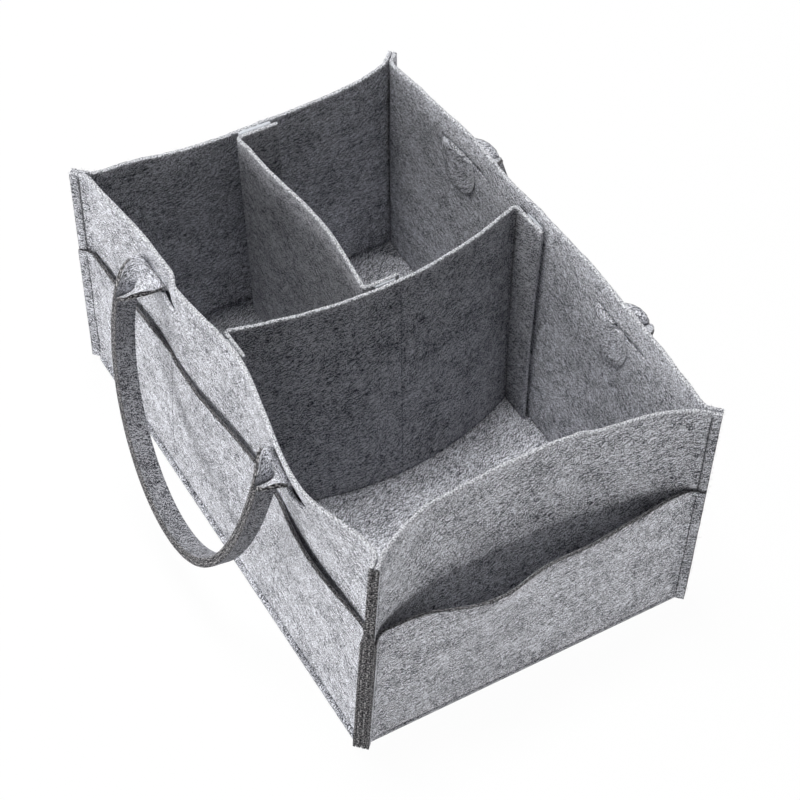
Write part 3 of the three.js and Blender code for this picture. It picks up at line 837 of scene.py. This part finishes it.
left_y = left_end + left_lean * height_share
right_y = right_end + right_lean * height_share
right_flap_y = right_y - flap_length - right_flap_spread * height_share
cross_corners = ((np.full(len(divider_levels), cross_left), left_y - flap_length),
                 (np.full(len(divider_levels), cross_left), left_y),
                 (right_flap_x(right_y), right_y),
                 (right_flap_x(right_flap_y), right_flap_y))
cross_line = folded_line([np.stack(pair, 1) for pair in cross_corners])
cross_line[..., 1] -= cross_bow(cross_line[..., 0], height_share[:, None])
foot_lift = foot_gap * hump(cross_line[..., 0], foot_place, foot_width)
foot_lift = foot_lift * (1 - smooth(height_share, 0, foot_share))[:, None]
wave_height, wave_spacing = edge_wave["cross"]
cross_wave = wave_height * wander(71, cross_line[..., 0], 0 * cross_line[..., 0], wave_spacing)
cross_wave = cross_wave * height_share[:, None] ** 4
cross_middle = upright(cross_line, height + foot_lift + cross_wave)
print("cross divider from x", round(cross_left, 1), "to", cross_line[-1, :, 0].max().round(1))

# %% [markdown]
# The short divider starts just behind the top of the cross divider and ends just inside the top of the
# back wall, where its flap is longer and stands further off. It leans to the left at the back and bows
# to the right.

# %% Short divider line
short_rise = box_mm("short_divider")[1][2] - divider_top
back_room, back_flap = 4.7, 31.0
back_end, back_lean = -8.5, -5.2
bow_right, bow_back = 8.2, -3.4
ones = np.ones(len(divider_levels))


def behind_cross(x):
    """The middle of a flap that lies behind the cross divider's top edge."""
    end_y = left_y[-1] + (right_y[-1] - left_y[-1]) * (x - cross_left) / (inside_x - cross_left)
    return end_y - cross_bow(x, 1.0) + felt + tape_room + layer_gap


def before_back(x):
    """The middle of a flap that lies just inside the back wall's rim."""
    return inside_y + wall_face + back_shift(x, rim_z) - back_room - felt / 2


short_front_x, short_back_x = -7.8, back_end + back_lean * height_share
short_corners = (((short_front_x + flap_length) * ones, behind_cross(short_front_x + flap_length) * ones),
                 (short_front_x * ones, behind_cross(short_front_x) * ones),
                 (short_back_x, before_back(short_back_x)),
                 (short_back_x + back_flap, before_back(short_back_x + back_flap)))
short_line = folded_line([np.stack(pair, 1) for pair in short_corners])
front_fold_y, back_fold_y = short_corners[1][1][0], short_corners[2][1][0]
short_share = (short_line[..., 1] - front_fold_y) / (back_fold_y - front_fold_y)
short_bow = bow_right * half_wave(short_share, 0, 1) + bow_back * hump(short_share, 0.72, 0.28, 0.42)
short_line[..., 0] += short_bow * height_share[:, None]
wave_height, wave_spacing = edge_wave["short"]
short_wave = wave_height * wander(72, short_line[..., 1], short_line[..., 0], wave_spacing)
short_wave = short_wave * height_share[:, None] ** 4
short_middle = upright(short_line, height + short_rise * np.clip(short_share, 0, 1) + short_wave)
print("short divider from y", short_line[..., 1].min().round(1), "to", short_line[..., 1].max().round(1))

# %% Divider sheets
# The top and side edges of the dividers get the painted highlight. Both dividers are darkened by painted
# shade to the tone of the shaded inside of the box, with more painted shade along the creases at their folds.
divider_tones = (dark, pale, pale, pale)
divider_shade, crease_shade = 0.3, 0.4
crease_reach = (2.5, 3.5)
cross_u = flat_layout(cross_middle)[0, :, 0]
from_ends = np.minimum(cross_u, cross_u[-1] - cross_u)
painted_crease_shade = crease_shade * hump(from_ends, flap_length, *crease_reach)
cross_sheet, size = felt_sheet("cross_divider_felt", cross_middle, divider_tones, grey_felt,
                               shade=divider_shade + painted_crease_shade)
settle(cross_sheet, ["cross_divider"], "cross_divider")
short_sheet, size = felt_sheet("short_divider_felt", short_middle, divider_tones, grey_felt,
                               shade=divider_shade)
settle(short_sheet, ["short_divider"], "short_divider")

# %% [markdown]
# ## Hook tapes
# Every flap carries a strip of hook tape on the side that faces the wall or the other divider. A strip
# is cut out of the flap's own grid, moved outward until it lies on the felt, so that it follows the flap
# exactly. The strip at the back wall is wider and thicker, and shows as a pale line at the rim.

# %% Tape sheets
tape_thickness, back_tape_thickness = 1.6, 3.6
tape_start, tape_end, back_tape_end = 2.0, 20.0, 28.0
tape_foot, tape_below_top = 48.0, 0.2


def tape(name, grid, at_end, toward, body, reach=tape_end, thickness=tape_thickness):
    """A strip on a flap: the columns from its start to its reach, measured from the sheet's end, and the rows
    from its foot to the top edge, moved half a felt and half a tape thickness toward a direction."""
    u = flat_layout(grid)[0, :, 0]
    from_end = u[-1] - u if at_end else u
    picked = (from_end > tape_start) & (from_end < reach)
    rows = (divider_levels > tape_foot) & (divider_levels < divider_top - tape_below_top)
    normal = grid_normals(grid)[rows][:, picked]
    outward = normal * np.sign((normal @ np.array(toward)).mean())
    middle = grid[rows][:, picked] + outward * (felt + thickness + layer_gap) / 2
    sheet, size = felt_sheet(f"{name}_hooks", middle, (0, 0, 0, 0), hook_tape, None, thickness)
    settle(sheet, [name], body)


tape("cross_divider_left_tape", cross_middle, False, (-1.0, 0, 0), "cross_divider")
tape("cross_divider_right_tape", cross_middle, True, (1.0, 0, 0), "cross_divider")
tape("short_divider_front_tape", short_middle, False, (0, -1.0, 0), "short_divider")
tape("short_divider_back_tape", short_middle, True, (0, 1.0, 0), "short_divider",
     back_tape_end, back_tape_thickness)

# %% [markdown]
# ## Handle bands
# Each handle is one band of felt. Its tongue is sewn inside the wall below the slit, it comes out flat,
# folds lengthwise until its two cut edges meet, and hangs down as a folded strap. The middle line is a
# route of straight stretches, bends and a squared ellipse, and the section across it is a flat strip
# whose halves turn up by a fold angle that grows along the route. The back half closes first.

# %% Band route
strap_width = 31.0
tongue_length, tongue_gap, tongue_thickness = 26.0, 0.05, 0.8
slit_bend = 5.0
shoulders = {"left": (3.3, 9.0), "right": (2.6, 8.2)}
fold_starts = {"left": (0, 5), "right": (20, 22)}
tongue_lean = {"left": 0.0, "right": -13.0}
loop_depth, loop_squareness, loop_skew = 115.0, 2.05, 18.0
loop_tilt = np.radians(12.5)
leg_shift = {"left": 7.0, "right": 13.0}
crease_half = (felt + layer_gap) / 2 * np.pi / 2
tongue_widening, narrowing = 0.16, 10.0
fold_closing = {"front": 17.0, "back": 14.0}


def band_route(shoulder_run, shoulder_bend, lean):
    """The middle line of a band as outward distance, run and height: up the tongue, which can lean along the
    wall, a quarter turn out through the slit, a shoulder that turns down, the loop, and the same again."""
    tongue_out = inside_x + wall_face - tongue_gap - tongue_thickness / 2
    tongue_top = slit_z - slit_bend
    tongue = [[tongue_out, z] for z in np.linspace(tongue_top - tongue_length, tongue_top, 24)]
    angle = np.linspace(0, np.pi / 2, 16)[1:]
    exit_bend = np.stack([tongue_out + slit_bend * (1 - np.cos(angle)),
                          tongue_top + slit_bend * np.sin(angle)], 1)
    angle = np.linspace(0, np.pi / 2 - loop_tilt, 20)
    shoulder = np.stack([tongue_out + slit_bend + shoulder_run + shoulder_bend * np.sin(angle),
                         slit_z - shoulder_bend * (1 - np.cos(angle))], 1)
    end = np.concatenate([tongue, exit_bend, shoulder])
    top_out, top_z = end[-1]
    angle = np.linspace(0, np.pi, 240)[1:-1]
    across = np.sign(np.cos(angle)) * np.abs(np.cos(angle)) ** (2 / loop_squareness)
    depth = loop_depth * np.sin(angle) ** (2 / loop_squareness)
    run = slit_spacing / 2 * across - loop_skew * (depth / loop_depth) ** 2
    loop = np.stack([top_out + np.tan(loop_tilt) * depth, run, top_z - depth], 1)
    below_slit = np.clip((tongue_top - end[:, 1]) / tongue_length, 0, 1)
    leaning = lean * below_slit * (np.arange(len(end)) < len(tongue))
    ends = [np.insert(end, 1, sign * slit_spacing / 2 + leaning, axis=1) for sign in (1, -1)]
    route = np.concatenate([ends[0], loop, ends[1][::-1]])
    lengths = np.concatenate([[0], np.cumsum(np.linalg.norm(np.diff(route, axis=0), axis=1))])
    return route, lengths, lengths[len(end) - 1]


exit_length = tongue_length + slit_bend * np.pi / 2
routes = {side: band_route(*shoulders[side], tongue_lean[side]) for side in shoulders}
band_ends = {side: lengths[-1] for side, (route, lengths, top_length) in routes.items()}
print("band lengths, mm:", band_ends, "width", strap_width)

# %% Band surface


def on_route(side, length):
    """Places on a band's route at the given lengths."""
    route, lengths = routes[side][:2]
    return np.stack([np.interp(length, lengths, route[:, k]) for k in range(3)], axis=-1)


def band_surface(side, across, length):
    """Middle point and normal of the band at a distance across it and a length along it. The two halves
    turn up by the fold angle: near the crease on an arc, and straight beyond it. The tongue is wider."""
    band_length, top_length = band_ends[side], routes[side][2]
    from_end = np.minimum(length, band_length - length)
    spot = on_route(side, length)
    tangent = on_route(side, np.minimum(length + 1, band_length)) - on_route(side, np.maximum(length - 1, 0))
    tangent /= np.linalg.norm(tangent, axis=-1, keepdims=True)
    outgoing = np.where(length < band_length / 2, 1.0, -1.0)
    hanging = np.array([np.cos(loop_tilt), 0, np.sin(loop_tilt)])
    turned_fold = np.stack([-tangent[..., 2] * outgoing, 0 * length, tangent[..., 0] * outgoing], axis=-1)
    turned_fold /= np.maximum(np.linalg.norm(turned_fold, axis=-1, keepdims=True), 1e-9)
    fold = np.where((from_end > top_length)[..., None], hanging, turned_fold)
    beside = np.cross(tangent, fold)
    beside /= np.linalg.norm(beside, axis=-1, keepdims=True)
    back_start, front_start = exit_length + np.array(fold_starts[side])
    closing = np.where(across * outgoing > 0,
                       smooth(from_end, front_start, front_start + fold_closing["front"]),
                       smooth(from_end, back_start, back_start + fold_closing["back"]))
    angle = np.maximum(closing * np.pi / 2, 1e-3)
    in_tongue = 1 - smooth(from_end, exit_length - narrowing, exit_length)
    wide = across * (1 + tongue_widening * in_tongue)
    distance = np.abs(wide)
    bent = angle * np.minimum(distance / crease_half, 1)
    straight = np.maximum(distance - crease_half, 0)
    radius = crease_half / angle
    aside = np.sign(across) * (radius * np.sin(bent) + straight * np.cos(angle))
    above = radius * (1 - np.cos(bent)) + straight * np.sin(angle)
    point = spot + beside * aside[..., None] + fold * above[..., None]
    point[..., 1] += leg_shift[side]
    normal = fold * np.cos(bent)[..., None] - beside * (np.sign(across) * np.sin(bent))[..., None]
    loose = smooth(from_end, exit_length, top_length)
    hang = shifts[side](leg_shift[side] + slit_spacing / 2, slit_z)
    out = point[..., 0] + shifts[side](point[..., 1], point[..., 2]) * (1 - loose) + hang * loose
    turn = {"left": -1, "right": 1}[side]
    return place(side, point[..., 1], out, point[..., 2]), normal * np.array([turn, 1, 1])


for side, length in band_ends.items():
    lowest = band_surface(side, np.zeros(1), np.full(1, length / 2))[0]
    print(side, "handle hangs down to", lowest.round(1), "mm")

# %% Band sheets
across_step, along_step = 1.5, 2.0
round_share = 0.98
band_across = stops([-strap_width / 2, 0, strap_width / 2], across_step)
end_round = strap_width / 2 - np.sqrt((strap_width / 2) ** 2 - (round_share * band_across) ** 2)
thickening = 8.0
strap_shade, shade_start, shade_full = 0.52, 10.0, 28.0


def follow_handle(piece):
    """Bakes a piece's placement into its mesh points."""
    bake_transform(piece)


bands = {}
for side in ("left", "right"):
    shares = stops([0, band_ends[side]], along_step)[:, None] / band_ends[side]
    lengths = end_round + shares * (band_ends[side] - 2 * end_round)
    from_end = np.minimum(lengths, band_ends[side] - lengths)
    middle, normal = band_surface(side, np.broadcast_to(band_across, lengths.shape), lengths)
    middle = middle[:, ::-1] if side == "left" else middle
    thicker = smooth(from_end, exit_length - thickening, exit_length)
    thickness = tongue_thickness + (felt - tongue_thickness) * thicker
    fold_start = exit_length + fold_starts[side][0]
    # The band is darkened by painted shade from a little past the start of its fold, and its cut edges carry
    # the painted highlight up to that start.
    painted_strap_shade = strap_shade * smooth(from_end, fold_start + shade_start, fold_start + shade_full)
    edges = np.where(from_end[:, 0] < fold_start, pale, dark)
    band, size = felt_sheet(f"{side}_handle_band", middle, (pale, edges, pale, edges), grey_felt, None,
                            thickness, [], painted_strap_shade)
    settle(band, [f"{side}_handle_{part}" for part in ("back_end", "front_end", "loop")])
    follow_handle(band)
    bands[side] = middle

# %% [markdown]
# ## Seams
# The stitches are short dashes of thread lying on the felt, 3.2 mm from one to the next. A seam is a
# line of points with normals, and the dashes are placed along it by length. Each dash is a low arch of
# nine points: three across at each of three places along it.

# %% Stitch helper
stitch_pitch = 3.2
seam_inset = 3.0
dash_stations = ((-1.1, 0.3, 0.05), (0.0, 0.45, 0.45), (1.1, 0.3, 0.05))
dash_sunk = -0.1


def dashes(points, normals):
    """The nine points of each dash along a seam. Each station has a place along the dash, a half width and a
    lift: the sides and ends sink into the felt and the middle stands up."""
    steps = np.linalg.norm(np.diff(points, axis=0), axis=1)
    lengths = np.concatenate([[0], np.cumsum(steps)])
    centres = np.arange(stitch_pitch / 2, lengths[-1] - stitch_pitch / 2, stitch_pitch)

    def along(values, where):
        """Values of the seam at the given lengths."""
        return np.stack([np.interp(where, lengths, values[:, k]) for k in range(3)], 1)

    normal = along(normals, centres)
    normal /= np.linalg.norm(normal, axis=1, keepdims=True)
    stations = []
    for reach, width, lift in dash_stations:
        spot = along(points, centres + reach)
        ahead = along(points, centres + 0.5) - along(points, centres - 0.5)
        aside = np.cross(normal, ahead)
        aside /= np.linalg.norm(aside, axis=1, keepdims=True)
        stations += [spot + aside * w + normal * h
                     for w, h in ((-width, dash_sunk), (0, lift), (width, dash_sunk))]
    return np.stack(stations, 1)


def sew(name, seams):
    """One mesh of all the dashes along several seams, each a pair of points and normals."""
    made = np.concatenate([dashes(points, normals) for points, normals in seams])
    cells = np.array([[0, 1, 4, 3], [1, 2, 5, 4], [3, 4, 7, 6], [4, 5, 8, 7]])
    faces = (np.arange(len(made))[:, None, None] * 9 + cells).reshape(-1, 4)
    piece = make_mesh(name, made.reshape(-1, 3), faces, thread)
    print(name, len(made), "stitches")
    return piece


def column_seam(grid, thickness, column, face):
    """A seam up one column of a panel's grid, on its near (-1) or far (1) face."""
    normal = grid_normals(grid)[:, column] * face
    inside = slice(3, len(grid) - 2)
    return (grid[:, column] + normal * thickness / 2)[inside], normal[inside]


print("a stitch every", stitch_pitch, "mm,", seam_inset, "mm from an edge of a band")

# %% Caddy stitches
tongue_seam_end, turn_points, leg_points = 12.0, 40, 20
caddy_seams = []
for side in halves:
    for layer, grids in enumerate((wall_grids, pocket_grids)):
        grid, thickness = grids[side], felt * fin_thickness[layer]
        u = flat_layout(grid)[0, :, 0]
        outward = {"front": (0, -1, 0), "back": (0, 1, 0), "left": (-1, 0, 0), "right": (1, 0, 0)}[side]
        face = np.sign((grid_normals(grid)[:, grid.shape[1] // 2] @ np.array(outward)).mean())
        for wanted in (fin_stitch, u[-1] - fin_stitch):
            caddy_seams.append(column_seam(grid, thickness, int(np.argmin(np.abs(u - wanted))), face))
        if side in ("left", "right") and layer == 1:
            run = grid[0, :, 1]
            caddy_seams += [column_seam(grid, felt, int(np.argmin(np.abs(run - place_y))), face)
                            for place_y in (-side_stitch, side_stitch)]

for side in ("left", "right"):
    inset = strap_width / 2 - seam_inset
    turn = np.linspace(-np.pi / 2, np.pi / 2, turn_points)
    leg = np.linspace(exit_length - tongue_seam_end, strap_width / 2, leg_points)
    across = np.concatenate([np.full(leg_points, -inset), inset * np.sin(turn), np.full(leg_points, inset)])
    along = np.concatenate([leg, strap_width / 2 - inset * np.cos(turn), leg[::-1]])
    for length in (along, band_ends[side] - along):
        point, normal = band_surface(side, across, length)
        inward = np.array([1.0 if side == "left" else -1.0, 0, 0])
        normal = normal * np.sign(normal @ inward)[:, None]
        caddy_seams.append((point + normal * tongue_thickness / 2, normal))
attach(sew("caddy_stitches", caddy_seams), "root")

# %% Handle stitches
strap_seam_start, strap_points = 24.0, 240
for side in ("left", "right"):
    seam_start = exit_length + strap_seam_start
    length = np.linspace(seam_start, band_ends[side] - seam_start, strap_points)
    seams = []
    for edge in (-1, 1):
        across = np.full(strap_points, edge * (strap_width / 2 - seam_inset))
        point, normal = band_surface(side, across, length)
        seams.append((point - normal * felt / 2, -normal))
    strap = sew(f"{side}_handle_stitches", seams)
    follow_handle(strap)

# %% Cross divider stitches
seam_foot, seam_lean, flap_seam, thread_lift = 12.0, 3.9, 4.0, 0.1
seam_x = seam_foot + seam_lean * height_share
end_y = left_y + (right_y - left_y) * (seam_x - cross_left) / (inside_x - cross_left)
seam_y = end_y - cross_bow(seam_x, height_share) - felt / 2 - thread_lift
seam = np.stack([seam_x, seam_y, divider_levels], 1)
front_facing = np.broadcast_to([0.0, -1.0, 0.0], seam.shape)
u = flat_layout(cross_middle)[0, :, 0]
flap_places = (flap_length + flap_seam, u[-1] - flap_length - flap_seam)
flap_columns = [int(np.argmin(np.abs(u - place_u))) for place_u in flap_places]
cross_face = np.sign(grid_normals(cross_middle)[0, len(u) // 2, 1]) * -1
cross_seams = [(seam[3:-2], front_facing[3:-2])]
cross_seams += [column_seam(cross_middle, felt, column, cross_face) for column in flap_columns]
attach(sew("cross_divider_stitches", cross_seams), "cross_divider")

# %% [markdown]
# ## Loose fibres
# Cut felt is never clean: single fibres stand out along the rims. Each is a thin ribbon of three pairs
# of points that bends a little, placed at random along a row or column of a sheet's grid.

# %% Loose fibres
rng = np.random.default_rng(5)
rim_fibres, strap_fibres = 130, 150
upward_lean = (0, 0, 0.8)
root_spread, lean_spread, curl_spread = 1.0, 0.7, 0.35
shortest, longest = 0.8, 2.4
ribbon_stations = ((0, 0.06), (0.5, 0.05), (1, 0.02))


def whiskers(name, lines, count, outward):
    """Ribbons along grid lines. Each starts inside the felt, leans out by a random amount and narrows."""
    parts = []
    for line in lines:
        at = rng.uniform(1, len(line) - 2, count)
        root = np.stack([np.interp(at, np.arange(len(line)), line[:, k]) for k in range(3)], 1)
        root += rng.uniform(-root_spread, root_spread, (count, 3))
        lean = np.array(outward) + rng.normal(0, lean_spread, (count, 3))
        lean /= np.linalg.norm(lean, axis=1, keepdims=True)
        curl = rng.normal(0, curl_spread, (count, 3))
        reach = rng.uniform(shortest, longest, (count, 1))
        aside = np.cross(lean, rng.normal(0, 1, (count, 3)))
        aside /= np.linalg.norm(aside, axis=1, keepdims=True)
        parts.append(np.stack([root + lean * reach * t + curl * reach * t * t + aside * w * s
                               for t, w in ribbon_stations for s in (-1, 1)], 1))
    made = np.concatenate(parts)
    cells = np.array([[0, 1, 3, 2], [2, 3, 5, 4]])
    faces = (np.arange(len(made))[:, None, None] * 6 + cells).reshape(-1, 4)
    piece = make_mesh(name, made.reshape(-1, 3), faces, loose_fibre)
    print(name, len(made), "fibres")
    return piece


rims = [grid[-1] for grid in (*wall_grids.values(), *pocket_grids.values())]
fins = [grid[:, column] for grid in wall_grids.values() for column in (0, -1)]
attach(whiskers("caddy_fibres", rims + fins, rim_fibres, upward_lean), "root")
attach(whiskers("cross_divider_fibres", [cross_middle[-1]], rim_fibres, upward_lean), "cross_divider")
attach(whiskers("short_divider_fibres", [short_middle[-1]], rim_fibres, upward_lean), "short_divider")
for side in ("left", "right"):
    loop = bands[side][len(bands[side]) // 6:-len(bands[side]) // 6]
    strays = whiskers(f"{side}_handle_fibres", [loop[:, 0], loop[:, -1]], strap_fibres, (0, 0, 0))
    follow_handle(strays)

# %% [markdown]
# ## Studio floor and light
# The caddy stands on a white light table: the paper glows a little, so it lights the caddy's outer
# sides from below, while the felt inside only gets light from above. A softbox above and behind, a wide
# low one on the left and a weak one at the front right do the rest. The floor shows white to the camera
# but keeps a soft shadow.

# %% Floor


def camera_sees(tree):
    """An output that is 1 for rays from the camera, also by way of gloss or glass, and 0 for others."""
    path = add_node(tree, "ShaderNodeLightPath")
    seen = path.outputs["Is Camera Ray"]
    for kind in ("Is Glossy Ray", "Is Transmission Ray"):
        either = add_node(tree, "ShaderNodeMath", {0: seen, 1: path.outputs[kind]}, operation="MAXIMUM")
        seen = either.outputs[0]
    return seen


floor_half = 4.0
floor_corners = floor_half * np.array([[-1, -1, 0], [1, -1, 0], [1, 1, 0], [-1, 1, 0]])
floor_mesh = bpy.data.meshes.new("studio_floor")
floor_mesh.from_pydata(floor_corners.tolist(), [], [(0, 1, 2, 3)])
floor = bpy.data.objects.new("studio_floor", floor_mesh)
bpy.context.scene.collection.objects.link(floor)
table_glow, camera_white = 0.62, 0.97
floor_paper, tree = new_material("white_paper")
paper = add_node(tree, "ShaderNodeBsdfDiffuse", {"Color": linear("#f4f4f4")})
glow = add_node(tree, "ShaderNodeEmission", {"Color": (1, 1, 1, 1), "Strength": 1.0})
amount = add_node(tree, "ShaderNodeMath", {0: camera_sees(tree), 1: camera_white - table_glow, 2: table_glow},
                  operation="MULTIPLY_ADD")
mixed = add_node(tree, "ShaderNodeMixShader", {0: amount.outputs[0], 1: paper.outputs[0], 2: glow.outputs[0]})
add_node(tree, "ShaderNodeOutputMaterial", {"Surface": mixed.outputs[0]})
floor_mesh.materials.append(floor_paper)
print("floor", 2 * floor_half, "m wide, glowing at", table_glow)

# %% Light
tent_light = 0.21
world = bpy.data.worlds.new("light_tent")
bpy.context.scene.world = world
world.use_nodes = True
tree = world.node_tree
tree.nodes.clear()
soft = add_node(tree, "ShaderNodeBackground", {"Color": (1, 1, 1, 1), "Strength": tent_light})
white = add_node(tree, "ShaderNodeBackground", {"Color": (1, 1, 1, 1), "Strength": 1.0})
mixed = add_node(tree, "ShaderNodeMixShader", {0: camera_sees(tree), 1: soft.outputs[0], 2: white.outputs[0]})
add_node(tree, "ShaderNodeOutputWorld", {"Surface": mixed.outputs[0]})


def softbox(name, position, aim, size, power):
    """A rectangular area light that faces a point. Its width lies level and its height stands up."""
    data = bpy.data.lights.new(name, "AREA")
    data.shape = "RECTANGLE"
    data.size, data.size_y = size
    data.energy = power
    lamp = bpy.data.objects.new(name, data)
    back = np.subtract(position, aim) / np.linalg.norm(np.subtract(position, aim))
    beside = np.cross((0.0, 1.0, 0.0) if abs(back[2]) > 0.9 else (0.0, 0.0, 1.0), back)
    beside /= np.linalg.norm(beside)
    axes = np.column_stack([beside, np.cross(back, beside), back])
    lamp.matrix_world = Matrix.LocRotScale(position, Matrix(axes), None)
    bpy.context.scene.collection.objects.link(lamp)
    print(name, size, "m,", power, "W")


softbox("overhead_softbox", (-0.08, 0.42, 2.15), (0, 0, 0), (0.8, 0.7), 43.0)
softbox("left_softbox", (-1.85, 0.5, 0.3), (0, 0, 0.1), (1.6, 0.55), 24.0)
softbox("front_softbox", (1.5, -1.4, 0.06), (0, 0, 0.08), (0.8, 0.1), 8.5)
bpy.context.scene.view_settings.view_transform = "Standard"
